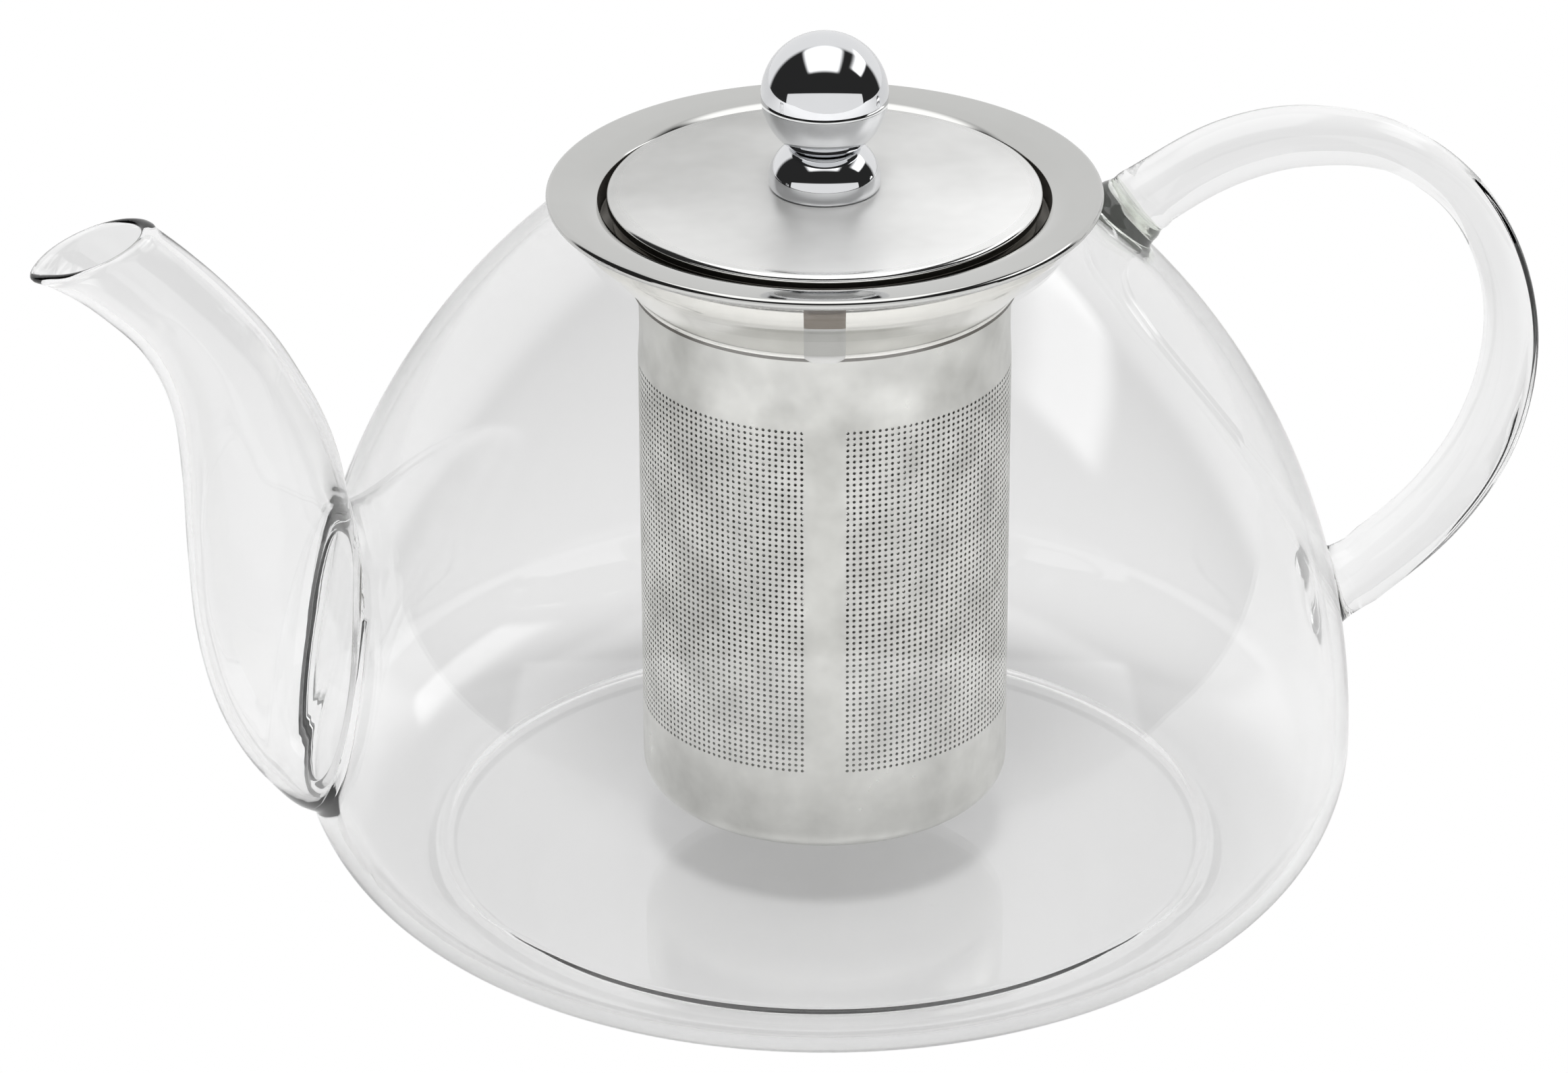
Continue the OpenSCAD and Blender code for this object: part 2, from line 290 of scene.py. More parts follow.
# %% Spout and handle lines
SPOUT_OVALS = [  # upper x and z, lower x and z, half width
    [-66, 60, -70, 24, 20.5], [-75, 66.5, -84, 17.5, 24], [-76.6, 70, -92, 23, 20.5],
    [-77.2, 73.5, -98, 33.5, 17], [-78, 78, -101.3, 47, 14.2],
    [-79.6, 83.5, -102.3, 62, 12.4], [-82.4, 90, -102.6, 75.5, 11],
    [-87, 98.5, -103.8, 88, 9.6], [-93.5, 107, -107.8, 98, 8.6],
    [-100, 114, -115, 106, 8], [-105.6, 119.2, -124.2, 113.6, 7.9]]
HANDLE_LINE = [  # x, z and radius of the rod
    [44, 104, 5.3], [55, 111.5, 5.3], [66, 116.5, 5.3], [78, 118, 4.9], [92, 115, 4.1],
    [104, 106, 3.7], [111.3, 93, 3.9], [113.6, 78, 4.6], [110.4, 63, 5.3],
    [102.4, 50.6, 5.6], [91, 41, 5.7], [80, 35, 5.7]]


def along(rows, where):
    """The point at a place along a list of rows, after Catmull and Rom."""
    i = min(int(where), len(rows) - 2)
    t = where - i
    a, b, c, d = (np.array(rows[min(max(k, 0), len(rows) - 1)], float)
                  for k in (i - 1, i, i + 1, i + 2))
    return 0.5 * (2 * b + (c - a) * t + (2 * a - 5 * b + 4 * c - d) * t * t
                  + (3 * b - a - 3 * c + d) * t ** 3)


def eased(t):
    """From 0 to 1 with a soft start and end."""
    return t * t * (3 - 2 * t)


def bump_at(angle, middle, width):
    """A smooth bump, 1 high, at an angle round a tube."""
    return math.exp(-(math.remainder(angle - middle, 2 * math.pi) / width) ** 2)


def spout_point(where, angle, inset):
    """A point on the spout's skin: how far along, and the angle round it."""
    x1, z1, x2, z2, half_width = along(SPOUT_OVALS, where)
    top, low = np.array([x1, 0, z1]), np.array([x2, 0, z2])
    half, middle = (top - low) / 2, (top + low) / 2
    shrink = 1 - inset / np.linalg.norm(half)
    return (middle + half * shrink * math.cos(angle)
            + np.array([0, (half_width - inset) * math.sin(angle), 0]))


print("spout mouth, upper edge in mm:", np.round(spout_point(10, 0, 0), 1))

# %% The skin: grid, patches and roots
COLUMNS = 256
SPOUT_WALL = 1.6


class Skin:
    """Collects the points and faces of the fused glass."""

    def __init__(self):
        self.points, self.faces, self.fused = [], [], []

    def add_ring(self, ring):
        start = len(self.points)
        self.points += [tuple(p) for p in ring]
        return list(range(start, len(self.points)))

    def add_face(self, corners, fused=False):
        self.faces.append(corners)
        self.fused.append(fused)

    def join(self, low, high, fused=False):
        for k in range(len(low)):
            m = (k + 1) % len(low)
            self.add_face([low[k], low[m], high[m], high[k]], fused)

    def extend(self, ring, points, fused=False):
        """Adds a ring of points, joins it to the ring before and returns it."""
        following = self.add_ring(points)
        self.join(ring, following, fused)
        return following


def patch_loop(first_row, last_row, first_column, last_column):
    """Grid places round the edge of a patch, in order."""
    rows = range(first_row, last_row)
    columns = range(first_column, last_column)
    return ([(first_row, c) for c in columns] + [(r, last_column) for r in rows]
            + [(last_row, c) for c in reversed(range(first_column + 1, last_column + 1))]
            + [(r, first_column) for r in reversed(range(first_row + 1, last_row + 1))])


def wall_place(x, y, z, inset):
    """Moves a point straight towards the axis until it is on the wall."""
    radius = body_radius(z, inset)
    side = math.sqrt(max(radius ** 2 - y ** 2, 0))
    return np.array([math.copysign(side, x), y, z])


def patch_rings(skin, grid, loop, root, inset, swell, steps, fused_from):
    """Rings from a patch's square edge in to a root ring that lies on the wall."""
    ring = [grid[r][c % COLUMNS] for r, c in loop]
    edge = [np.array(skin.points[i]) for i in ring]
    for k in range(1, steps + 1):
        t = k / steps
        row = []
        for start, end in zip(edge, root):
            p = start + (end - start) * t
            p = wall_place(p[0], p[1], p[2], inset)
            normal = np.array([p[0], p[1], 0]) / math.hypot(p[0], p[1])
            row.append(p + normal * swell * max(0, (t - 0.45) / 0.55) ** 2)
        ring = skin.extend(ring, row, t > fused_from)
    return ring


skin = Skin()
print("columns round the body:", COLUMNS)

# %% The body's wall, with patches left out
def lay_rows(rows, patches):
    """Lays grid rows from the foot to the mouth and leaves out the patches."""
    grid = [skin.add_ring(circle(r, z, COLUMNS)) for r, z in rows]
    for r in range(len(rows) - 1):
        for c in range(COLUMNS):
            hidden = any(r0 <= r < r1 and (c - c0) % COLUMNS < c1 - c0
                         for r0, r1, c0, c1 in patches)
            if not hidden:
                m = (c + 1) % COLUMNS
                skin.add_face([grid[r][c], grid[r][m], grid[r + 1][m], grid[r + 1][c]])
    middle = skin.add_ring([(0, 0, rows[0][1])])[0]
    for c in range(COLUMNS):
        skin.add_face([grid[0][c], grid[0][(c + 1) % COLUMNS], middle])
    return grid


def patch_at(rows, height, half_rows, middle_column, half_columns):
    """A patch centred at a height, clear of the last row at the lip."""
    middle = min(range(7, len(rows)), key=lambda i: abs(rows[i][1] - height))
    top = min(middle + half_rows, len(rows) - 1)
    return (top - 2 * half_rows, top, middle_column - half_columns,
            middle_column + half_columns)


PORT_Z, UPPER_WELD_Z, LOWER_WELD_Z = 42, 105.9, 37.2  # the middles of the three joints
spout_patch = patch_at(outer_rows, PORT_Z + 1, 14, COLUMNS // 2, 15)
port_patch = patch_at(inner_rows, PORT_Z + 1, 14, COLUMNS // 2, 15)
upper_patch = patch_at(outer_rows, UPPER_WELD_Z, 4, 0, 8)
lower_patch = patch_at(outer_rows, LOWER_WELD_Z, 6, 0, 6)
outer_grid = lay_rows(outer_rows, [spout_patch, upper_patch, lower_patch])
inner_grid = lay_rows(inner_rows, [port_patch])
print("patches (rows, columns):", spout_patch, port_patch, upper_patch, lower_patch)

# The rounded lip joins the outside to the inside
ring = outer_grid[-1]
for radius, height in lip_rows:
    ring = skin.extend(ring, circle(radius, height, COLUMNS))
skin.join(ring, inner_grid[-1])

# %% [markdown]
# The spout grows from a ring on the outside of the wall, and its bore from a
# smaller ring on the inside, which is the port that was opened in the body.
# The two tubes meet in the fire-polished rim of the mouth, a rounded bead that
# droops a little at its lowest point to cut off the drip.

# %% Spout
def ring_angles(grid, loop, middle_height):
    """The angle of each point of a patch's edge, seen from the patch's middle."""
    angles = []
    for r, c in loop:
        x, y, z = skin.points[grid[r][c % COLUMNS]]
        angles.append(math.atan2(y, z - middle_height))
    return angles


def spout_root(angles, width, height, middle, inset):
    """An oval ring on the body's wall, where the spout or its bore starts."""
    return [wall_place(-1, width * math.sin(a), middle + height * math.cos(a), inset)
            for a in angles]


MOUTH = 9.74  # where the tube ends and the bead of its rim starts


def droop(p, where, angle):
    """The lowest part of the mouth is drawn out and down into a small lip."""
    near_mouth = max(0, where - 9.1) / 0.7
    return p + np.array([-0.9, 0, -0.9]) * near_mouth ** 2 * bump_at(angle, math.pi, 0.42)


# The port: round the rim of the hole in the wall, then out to the bore.
# Half width, half height and depth under the body's outside.
PORT_RIM = [(19.45, 20.15, 1.15), (19.3, 20.0, 0.98), (19.28, 19.98, 0.76), (19.36, 20.06, 0.52),
            (19.6, 20.3, 0.36), (20.1, 20.8, 0.3), (20.9, 21.6, 0.28), (21.6, 22.3, 0.15),
            (22.05, 22.8, -0.3)]


def spout_side(grid, patch, root_size, inset, swell, places):
    """Rings from a patch of the wall, along the spout, up to its mouth."""
    loop = patch_loop(*patch)
    angles = ring_angles(grid, loop, PORT_Z)
    root = spout_root(angles, *root_size, WALL if inset else 0)
    ring = patch_rings(skin, grid, loop, root, WALL if inset else 0, swell, 6, 2)
    for width, height, depth in (PORT_RIM if inset else []):
        ring = skin.extend(ring, spout_root(angles, width, height, root_size[2], depth))
    base = [np.array(skin.points[i]) for i in ring]
    for where in places:
        follow = eased(min((where - 1) / 0.9, 1))
        row = []
        for start, a in zip(base, angles):
            wanted = droop(spout_point(where, a, inset), where, a)
            lift = start + (wanted - start) * min(1, (where - 1) / 0.35)
            row.append(lift * (1 - follow) + wanted * follow)
        ring = skin.extend(ring, row)
    return ring, angles


spout_places = list(np.linspace(1.12, MOUTH, 72))
outer_mouth, mouth_angles = spout_side(outer_grid, spout_patch, (24.2, 24.6, PORT_Z), 0, 0.25,
                                       spout_places)
inner_mouth, _ = spout_side(inner_grid, port_patch, (19.7, 20.4, 42.2), SPOUT_WALL, 1.0,
                            spout_places)

# The bead of the rim: a round edge a little thicker than the wall
ring = outer_mouth
for step in range(9):
    turn = math.radians(-30 + 240 * step / 8)
    row = []
    for o, i, a in zip(outer_mouth, inner_mouth, mouth_angles):
        outside, inside = np.array(skin.points[o]), np.array(skin.points[i])
        across = (outside - inside) / np.linalg.norm(outside - inside)
        ahead = (droop(spout_point(MOUTH + 0.1, a, 0.8), MOUTH, a)
                 - droop(spout_point(MOUTH, a, 0.8), MOUTH, a))
        ahead /= np.linalg.norm(ahead)
        thick = 0.95 + 0.25 * bump_at(a, math.pi, 0.6) + 0.1 * bump_at(a, 0, 0.5)
        row.append((outside + inside) / 2 + ahead * 0.9
                   + (across * math.cos(turn) + ahead * math.sin(turn)) * thick)
    ring = skin.extend(ring, row)
skin.join(ring, inner_mouth)
print("spout rings:", len(spout_places), "points round it:", len(mouth_angles))

# %% [markdown]
# The handle is a bent solid rod. At its top it was pressed onto a blob of
# melted glass, so there is a swollen foot, a groove and then the flat end of
# the rod. At its bottom the rod was melted straight onto the body.

# %% Handle
def rod_frame(where):
    """The middle, the direction and the radius of the rod at a place along it."""
    x, z, radius = along(HANDLE_LINE, where)
    last = len(HANDLE_LINE) - 1
    ahead = along(HANDLE_LINE, min(where + 0.02, last)) - along(HANDLE_LINE, max(where - 0.02, 0))
    way = np.array([ahead[0], 0, ahead[1]])
    way /= np.linalg.norm(way)
    return np.array([x, 0, z]), way, radius


def rod_ring(middle, way, radius, angles, grooves=0.0):
    """A ring round the rod, with two shallow drawn grooves along its outer side."""
    up = np.array([-way[2], 0, way[0]])
    ring = []
    for a in angles:
        cut = 0.10 * bump_at(a, -0.76, 0.2) + 0.07 * bump_at(a, 0.8, 0.2)
        ring.append(middle + radius * (1 - grooves * cut)
                    * (math.cos(a) * up + math.sin(a) * np.array([0, 1, 0])))
    return ring


DOME_END_Z = WAIST_Z + SHOULDER_R - 1.5  # above this the dome's circle has no radius


def rod_root(middle, way, radius, angles):
    """Where a tube of this radius along the rod's axis meets the body."""
    found = []
    for p in rod_ring(middle, way, radius, angles):
        low, high = -25.0, 25.0
        for _ in range(40):
            t = (low + high) / 2
            q = p + way * t
            outside = math.hypot(q[0], q[1]) > body_radius(min(q[2], DOME_END_Z))
            low, high = (low, t) if outside else (t, high)
        found.append(p + way * high)
    return found


def handle_end(patch, where, outwards, middle_height, stations, fused_to):
    """Rings from a patch of the body through the fused foot of the rod."""
    loop = patch_loop(*patch)
    middle, way, _ = rod_frame(where)
    way = way * outwards
    angles = ring_angles(outer_grid, loop, middle_height)
    root = rod_root(middle, way, stations[0][1], angles)
    ring = patch_rings(skin, outer_grid, loop, root, 0, 0.3, 4, 0.7 if fused_to else 2)
    foot = sum(rod_root(middle, way, 0.01, [0, math.pi])) / 2
    for distance, radius in stations:
        shift = eased(min(distance / 9, 1))
        slanted = [p + way * distance for p in rod_root(middle, way, radius, angles)]
        square = rod_ring(foot + way * distance, way, radius, angles)
        ring = skin.extend(ring, [s * (1 - shift) + q * shift
                                  for s, q in zip(slanted, square)], distance < fused_to)
    return ring, angles


print("rod at its top in mm:", [np.round(part, 2) for part in rod_frame(3)])

# %% The rod and its two ends
# How far each ring of a foot is from the body, and its radius
UPPER_FOOT = [(0.4, 6.7), (0.9, 6.4), (1.6, 6.2), (2.3, 6.15), (2.9, 6.0), (3.4, 5.8),
              (3.8, 5.62), (4.2, 5.56), (4.6, 5.58), (5.0, 5.65), (5.6, 5.6), (6.8, 5.4)]
LOWER_FOOT = [(0.4, 6.9), (0.9, 6.5), (1.6, 6.2), (2.4, 5.95), (3.4, 5.8), (4.8, 5.72),
              (6.5, 5.7)]
upper_end, angles = handle_end(upper_patch, 0.55, 1, UPPER_WELD_Z, UPPER_FOOT, 4.3)
lower_end, lower_angles = handle_end(lower_patch, 10.6, -1, LOWER_WELD_Z, LOWER_FOOT, 0)

# The rod was laid from the top, so round its lower end the angles run the other
# way. Each point of the rod takes the nearest point of the foot as its partner,
# and the rod's angles drift towards that partner along the way.
count = len(angles)


def unwrapped(angle, near):
    return angle + 2 * math.pi * round((near - angle) / (2 * math.pi))


def partners(shift):
    return [lower_angles[(shift - k) % count] for k in range(count)]


def mismatch(shift):
    return sum((unwrapped(math.pi - b, a) - a) ** 2 for a, b in zip(angles, partners(shift)))


shift = min(range(count), key=mismatch)
last_angles = [unwrapped(math.pi - b, a) for a, b in zip(angles, partners(shift))]
ring = upper_end
places = np.linspace(1.25, 9.85, 110)
for where in places:
    t = (where - places[0]) / (places[-1] - places[0])
    now = [a + (b - a) * t for a, b in zip(angles, last_angles)]
    deep = max(0, min((where - 3.2) / 2, 1, (9.8 - where) / 0.8))
    ring = skin.extend(ring, rod_ring(*rod_frame(where), now, deep))
skin.join(ring, [lower_end[(shift - k) % count] for k in range(count)])

glass_pot = make_piece("fused_glass_pot", skin.points, skin.faces, 80, skin.fused)
glass_pot.data.materials.append(blown_glass)
glass_pot.data.materials.append(fused_glass)
edges = bmesh.new()
edges.from_mesh(glass_pot.data)
print("glass pot:", len(skin.faces), "faces, open edges:",
      sum(e.is_boundary for e in edges.edges), "volume in ml:",
      round(edges.calc_volume() * 1e6, 1))
edges.free()
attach(glass_pot, "pot")
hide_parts("glass_body", "spout_tube", "spout_weld", "handle_loop",
            "handle_weld_top", "handle_weld_bottom")

# %% [markdown]
# ## Stainless steel and its finishes
# The lid is satin: a fine polishing wheel spreads each reflection. The flange
# was polished finer, and the collar is bright rolled strip. The basket is
# photo-etched sheet, which the acid leaves matt and a little cloudy. The knob
# is polished like a mirror.

# %% Steel materials
def steel_material(name, light, dark, roughness, spread, cloud_mm, grain_mm, grain_height,
                   stretch=(1, 1, 1), rim=None, painted_light_sweep=None):
    """Steel whose tone and gloss drift over clouds, with a fine bumpy grain.

    Rim: a radius in mm from which the steel is glossier, its roughness there,
    and the share of bare metal inside it, where the rest is haze. Sweep: how
    fast the tone gets lighter along x and y, per metre."""
    material, tree = new_material(name, light)
    place = add_node(tree, "ShaderNodeTexCoord")
    cloud = add_node(tree, "ShaderNodeTexNoise", inputs={
        "Vector": place.outputs["Object"], "Scale": 1 / (cloud_mm * MM), "Detail": 4.0,
        "Roughness": 0.6})
    drift = cloud
    # Painted light: a straight gradient lightens the tone along x and y
    if painted_light_sweep:
        slope = add_node(tree, "ShaderNodeVectorMath", {"operation": "DOT_PRODUCT"},
                         {0: place.outputs["Object"], 1: (*painted_light_sweep, 0.0)})
        drift = maths(tree, "ADD", drift, slope.outputs["Value"])
    tone = add_node(tree, "ShaderNodeMix", {"data_type": "RGBA"},
                    {0: drift, 6: paint(dark), 7: paint(light)})
    gloss = add_node(tree, "ShaderNodeMapRange", inputs={
        "Value": cloud, "From Min": 0.3, "From Max": 0.7,
        "To Min": roughness + spread, "To Max": roughness - spread})
    stretched = add_node(tree, "ShaderNodeMapping",
                         inputs={"Vector": place.outputs["Object"], "Scale": stretch})
    grain = add_node(tree, "ShaderNodeTexNoise", inputs={
        "Vector": stretched, "Scale": 1 / (grain_mm * MM), "Detail": 2.0})
    bump = add_node(tree, "ShaderNodeBump", inputs={
        "Height": grain, "Strength": 1.0, "Distance": grain_height * MM})
    steel = add_node(tree, "ShaderNodeBsdfPrincipled", inputs={
        "Base Color": tone.outputs[2], "Metallic": 1.0, "Roughness": gloss, "Normal": bump})
    if rim:
        flat = add_node(tree, "ShaderNodeVectorMath", {"operation": "MULTIPLY"},
                        {0: place.outputs["Object"], 1: (1.0, 1.0, 0.0)})
        radius = add_node(tree, "ShaderNodeVectorMath", {"operation": "LENGTH"}, {0: flat})
        beyond = step_up(tree, radius.outputs["Value"], (rim[0] - 0.8) * MM,
                         (rim[0] + 0.8) * MM)
        polish = add_node(tree, "ShaderNodeMix", inputs={0: beyond, 2: gloss, 3: rim[1]})
        metal = add_node(tree, "ShaderNodeMix", inputs={0: beyond, 2: rim[2], 3: 1.0})
        tree.links.new(polish.outputs[0], steel.inputs["Roughness"])
        tree.links.new(metal.outputs[0], steel.inputs["Metallic"])
    add_node(tree, "ShaderNodeOutputMaterial", inputs={"Surface": steel})
    return material


# %% The steels
# Each has a light and a dark tone, a roughness and its spread, and in mm the
# length of its clouds and the length and height of its grain.
# Satin, for the lid: broad clouds of handling, an edge that was buffed, and
# a painted light sweep that lightens the tone towards the front and the right
lid_steel = steel_material("satin_polished_304_lid", "#FFFFFE", "#B4B4B2", 0.33, 0.03,
                           38, 0.4, 0.0012, rim=(32.6, 0.12, 0.45), painted_light_sweep=(6.0, -11.0))
satin_steel = steel_material("satin_polished_304_steel", "#D8D8D6", "#CCCCCA", 0.24, 0.03,
                             25, 0.4, 0.0012)
# The flange was polished finer, so it still shows blurred shapes
fine_steel = steel_material("fine_polished_304_steel", "#CECECC", "#C2C2C0", 0.055, 0.015,
                            25, 0.4, 0.0003)
# Bright rolled strip: nearly a mirror, with faint lines along the strip
bright_steel = steel_material("bright_rolled_304_steel", "#F8F7F2", "#E6E5E0", 0.13, 0.03,
                              14, 0.5, 0.002, (1, 1, 6))
# Photo-etched sheet: matt, with clouds from the acid about 9 mm across
etched_steel = steel_material("photo_etched_304_steel", "#F4F4F0", "#BEBEBA", 0.34, 0.08,
                              9, 0.15, 0.002)
# Painted shade: dull dark steel for the flange's well and the collar's lower
# edge, where shade falls in the recess and between the parts
painted_shade_steel = steel_material("painted_shade_304_steel", "#7A7772", "#6C6964", 0.38, 0.04,
                            12, 0.3, 0.001)
# Painted shade: the strap is dull and darker brown above the collar's break,
# where it lies in the shade under the flange
strap_shade_steel = steel_material("strap_painted_shade_304_steel", "#A29B93", "#958E86", 0.40, 0.05,
                             12, 0.3, 0.002)
# Mirror polish: only faint fingerprints blur it
mirror_steel = steel_material("mirror_polished_304_steel", "#E6E7E9", "#DFE0E2", 0.035, 0.015,
                              6, 0.8, 0.0002)
print("materials so far:", [material.name for material in bpy.data.materials])


def finish_piece(piece, material, body, slot, node):
    """Gives a piece its material, its body and the CAD node that it shows."""
    piece.data.materials.clear()
    piece.data.materials.append(material)
    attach(piece, body)
    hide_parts(node)
    print(piece.name, "triangles:", sum(len(p.vertices) - 2 for p in piece.data.polygons))


def turned_piece(name, outline, finish, steps=224, sharp_angle=40, closed=True):
    """A spun piece with its finish: material, body, slot and CAD node."""
    piece = spin(name, outline, steps, sharp_angle, closed)
    finish_piece(piece, *finish)
    return piece


def second_finish(piece, material, chosen):
    """Gives a second material to the faces whose middle, in mm, is chosen."""
    piece.data.materials.append(material)
    for face in piece.data.polygons:
        face.material_index = int(chosen(face.center / MM))

# %% [markdown]
# ## The strainer's flange
# One disc of sheet is pressed into a dished ring with a rolled rim, a rounded
# drop and a ledge for the lid. Its section is drawn once with true arcs and
# spun, which keeps the line of light on the rolled rim unbroken.

# %% Flange
ROLL_R, CORNER_R, DISH = 0.8, 1.6, 18
rim_middle = (FLANGE_R - ROLL_R, FLANGE_TOP - ROLL_R)
corner_x = WELL_R + CORNER_R
corner_z = rim_middle[1] + (ROLL_R - CORNER_R + (corner_x - rim_middle[0])
                            * math.sin(math.radians(DISH))) / math.cos(math.radians(DISH))
ledge_z = corner_z - 1.75
LEDGE_BORE_R, LEDGE_DROP = WELL_R - 3.1, 1.4
# The dish is drawn nearly flat by the rim and rounder towards its tight bend
DISH_R, FIRST, BEND_R, FLAT_TO = 8.0, 5.0, 0.45, 39.2
slope = math.radians(FIRST)
flat_r = rim_middle[0] - ROLL_R * math.sin(slope)
flat_z = rim_middle[1] + ROLL_R * math.cos(slope) - (flat_r - FLAT_TO) * math.tan(slope)
dish_x, dish_z = FLAT_TO + DISH_R * math.sin(slope), flat_z - DISH_R * math.cos(slope)
bend_x = WELL_R + BEND_R
bend_z = dish_z + math.sqrt((DISH_R - BEND_R) ** 2 - (dish_x - bend_x) ** 2)
LAST = math.degrees(math.asin((dish_x - bend_x) / (DISH_R - BEND_R)))

flange_outline = (
    arc(rim_middle, ROLL_R, 90 + FIRST, -200, 20)
    + arc((dish_x, dish_z), DISH_R - SHEET, 90 + FIRST, 86 + LAST, 10)
    + [(WELL_R + SHEET + 0.08, bend_z - 0.45), (WELL_R + SHEET, bend_z - 0.8)]
    + arc((WELL_R + SHEET - 0.35, ledge_z - SHEET + 0.35), 0.35, 0, -90, 4)
    + arc((LEDGE_BORE_R + SHEET + 0.2, ledge_z - SHEET - 0.2), 0.2, 90, 180, 3)
    + [(LEDGE_BORE_R + SHEET, ledge_z - LEDGE_DROP), (LEDGE_BORE_R, ledge_z - LEDGE_DROP)]
    + arc((LEDGE_BORE_R + 0.5, ledge_z - 0.5), 0.5, 180, 90, 5)
    + arc((WELL_R - 0.3, ledge_z + 0.3), 0.3, -90, 0, 4)
    + arc((bend_x, bend_z), BEND_R, 180, 90 + LAST, 8)
    + arc((dish_x, dish_z), DISH_R, 90 + LAST, 90 + FIRST, 18)[1:-1])
flange = turned_piece("strainer_flange_sheet", flange_outline,
                      (fine_steel, "strainer", "satin_steel", "strainer_flange"), 256, 50)
# Painted shade: the well and its ledge take the dark steel, for the shade in the recess round the
# lid
second_finish(flange, painted_shade_steel, lambda middle: middle.xy.length < WELL_R + 0.1)

# %% [markdown]
# ## The collar and its strap
# The collar is a cylinder that turns into a cone. Its sharp break and its
# lower lip are softened by small arcs, as a roller leaves them. The strap
# follows the same line one sheet further out, with rounded lower corners.

# %% Collar
COLLAR_R, BREAK_Z, END_Z, COLLAR_LIP = WELL_R + 2 * SHEET, 108.2, 100.6, 1
collar_foot_r = BASKET_R + SHEET


def softened(outline, radius, steps=5):
    """Rounds every inner corner of an open line by a small arc."""
    line = [np.array(p, float) for p in outline]
    soft = [tuple(line[0])]
    for before, here, after in zip(line, line[1:], line[2:]):
        a, b = before - here, after - here
        reach = min(radius, np.linalg.norm(a) * 0.45, np.linalg.norm(b) * 0.45)
        start, end = here + a / np.linalg.norm(a) * reach, here + b / np.linalg.norm(b) * reach
        for k in range(steps + 1):
            t = k / steps
            soft.append(tuple(start * (1 - t) ** 2 + here * 2 * t * (1 - t) + end * t ** 2))
    return soft + [tuple(line[-1])]


collar_top = corner_z + 1.2
collar_lower = [(COLLAR_R, BREAK_Z), (collar_foot_r, END_Z), (collar_foot_r, END_Z - COLLAR_LIP)]
collar_outside = softened([(COLLAR_R, collar_top)] + collar_lower, 1.2)
collar_inside = softened([(BASKET_R + 0.02, END_Z - COLLAR_LIP), (BASKET_R + 0.02, END_Z + 0.2),
                          (COLLAR_R - SHEET, BREAK_Z + 0.2), (COLLAR_R - SHEET, collar_top)], 1.0)
collar = turned_piece("strainer_collar_band", collar_outside + collar_inside,
                      (bright_steel, "strainer", "polished_steel", "strainer_collar"), 224, 50)
# Painted shade: the collar's lower edge takes the dark steel, a thin dark line
# for the shade between the collar and the basket's neck
second_finish(collar, painted_shade_steel, lambda middle: middle.z < END_Z - COLLAR_LIP / 2)

# %% Strap
def slab(name, sides):
    """A closed sheet between two grids of points that have the same shape."""
    rows, columns = len(sides[0]), len(sides[0][0])
    points = [point for side in sides for row in side for point in row]
    faces = []

    def place(side, row, column):
        return (side * rows + row) * columns + column

    for side in (0, 1):
        for r in range(rows - 1):
            for c in range(columns - 1):
                faces.append([place(side, r, c), place(side, r, c + 1),
                              place(side, r + 1, c + 1), place(side, r + 1, c)])
    edge = patch_loop(0, rows - 1, 0, columns - 1)
    for a, b in zip(edge, edge[1:] + edge[:1]):
        faces.append([place(0, *a), place(0, *b), place(1, *b), place(1, *a)])
    return make_piece(name, points, faces, 40)


STRAP_W, STRAP_T = 6.3, 0.35
STRAP_CORNER, ACROSS = 1.1, 12  # radius of its lower corners, and steps across it
strap_line = softened([(COLLAR_R, corner_z - 0.1)] + collar_lower, 0.8, 4)


def strap_side(middle_rise, edge_rise):
    """One side of the strap, at a height above the collar and at its edges."""
    rows, left = [], sum(math.dist(a, b) for a, b in zip(strap_line, strap_line[1:]))
    for (radius, height), after in zip(strap_line, strap_line[1:] + strap_line[-1:]):
        # Near the lower end the width shrinks along a quarter circle
        short = max(0, STRAP_CORNER - left)
        narrow = STRAP_CORNER - math.sqrt(max(STRAP_CORNER ** 2 - short ** 2, 0))
        row = []
        for k in range(ACROSS + 1):
            y = (k / ACROSS - 0.5) * (STRAP_W - 2 * narrow)
            turn = math.radians(SEAM_ANGLE) + y / radius
            reach = radius + (edge_rise if k in (0, ACROSS) else middle_rise)
            row.append((reach * math.cos(turn), reach * math.sin(turn), height))
        rows.append(row)
        left -= math.dist((radius, height), after)
    return rows


strap = slab("strainer_collar_strap", [strap_side(0.02, 0.02), strap_side(STRAP_T, STRAP_T / 2)])
finish_piece(strap, strap_shade_steel, "strainer", "satin_steel", "collar_strap")
# Below the break the strap is plain satin steel; above it the painted shade stays
second_finish(strap, satin_steel, lambda middle: middle.z < BREAK_Z + 0.1)

# %% [markdown]
# ## The perforated basket
# Some ten thousand holes are etched in a square pattern, so Geometry Nodes lay
# them. One flat tile with a hole is copied over a grid and merged into one
# sheet, the sheet gets its thickness, and then it is rolled round the axis.
# The tree makes a stretch of columns at a time, and three stretches go round.

# %% Perforated sheet tree
HOLE_ROWS, LOWEST_HOLE, TOP_HOLE = 61, 28.2, 87.2
HOLE_COLUMNS, STRIP_GAP = 176, 13.8  # the gap in degrees between the first columns
row_pitch = (TOP_HOLE - LOWEST_HOLE) / (HOLE_ROWS - 1)
column_angle = (360 - STRIP_GAP) / (HOLE_COLUMNS - 1)
column_pitch = math.radians(column_angle) * BASKET_R
HOLE_R = 0.26
print("pitch in mm, across and up:", round(column_pitch, 3), round(row_pitch, 3))


